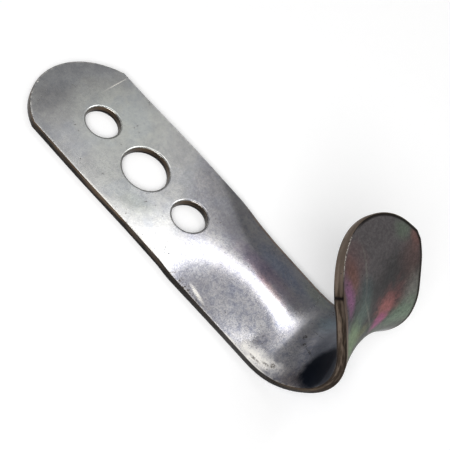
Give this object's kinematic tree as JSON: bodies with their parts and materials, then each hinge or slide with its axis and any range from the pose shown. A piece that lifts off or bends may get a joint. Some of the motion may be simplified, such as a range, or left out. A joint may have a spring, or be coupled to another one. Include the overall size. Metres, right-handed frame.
{
  "type": "rope hook",
  "caption": "Flat strip rope hook in zinc plated steel, with a drilled fixing end, a crowned bend and a spoon shaped tongue.",
  "frame": {"origin": "axis of the centre hole at the flat back face, which is the face that lies against the wall or body panel", "axes": "+Z out of the back face towards the rope side, +Y along the strip towards the rounded fixing end, +X across the strip"},
  "size_m": [0.032, 0.1066, 0.047],
  "materials": {
    "zinc_plated_steel": "bright zinc plate with a thin rainbow passivation, lightly worn"
  },
  "bodies": {
    "root": {"hook": "zinc_plated_steel"}
  },
  "joints": []
}
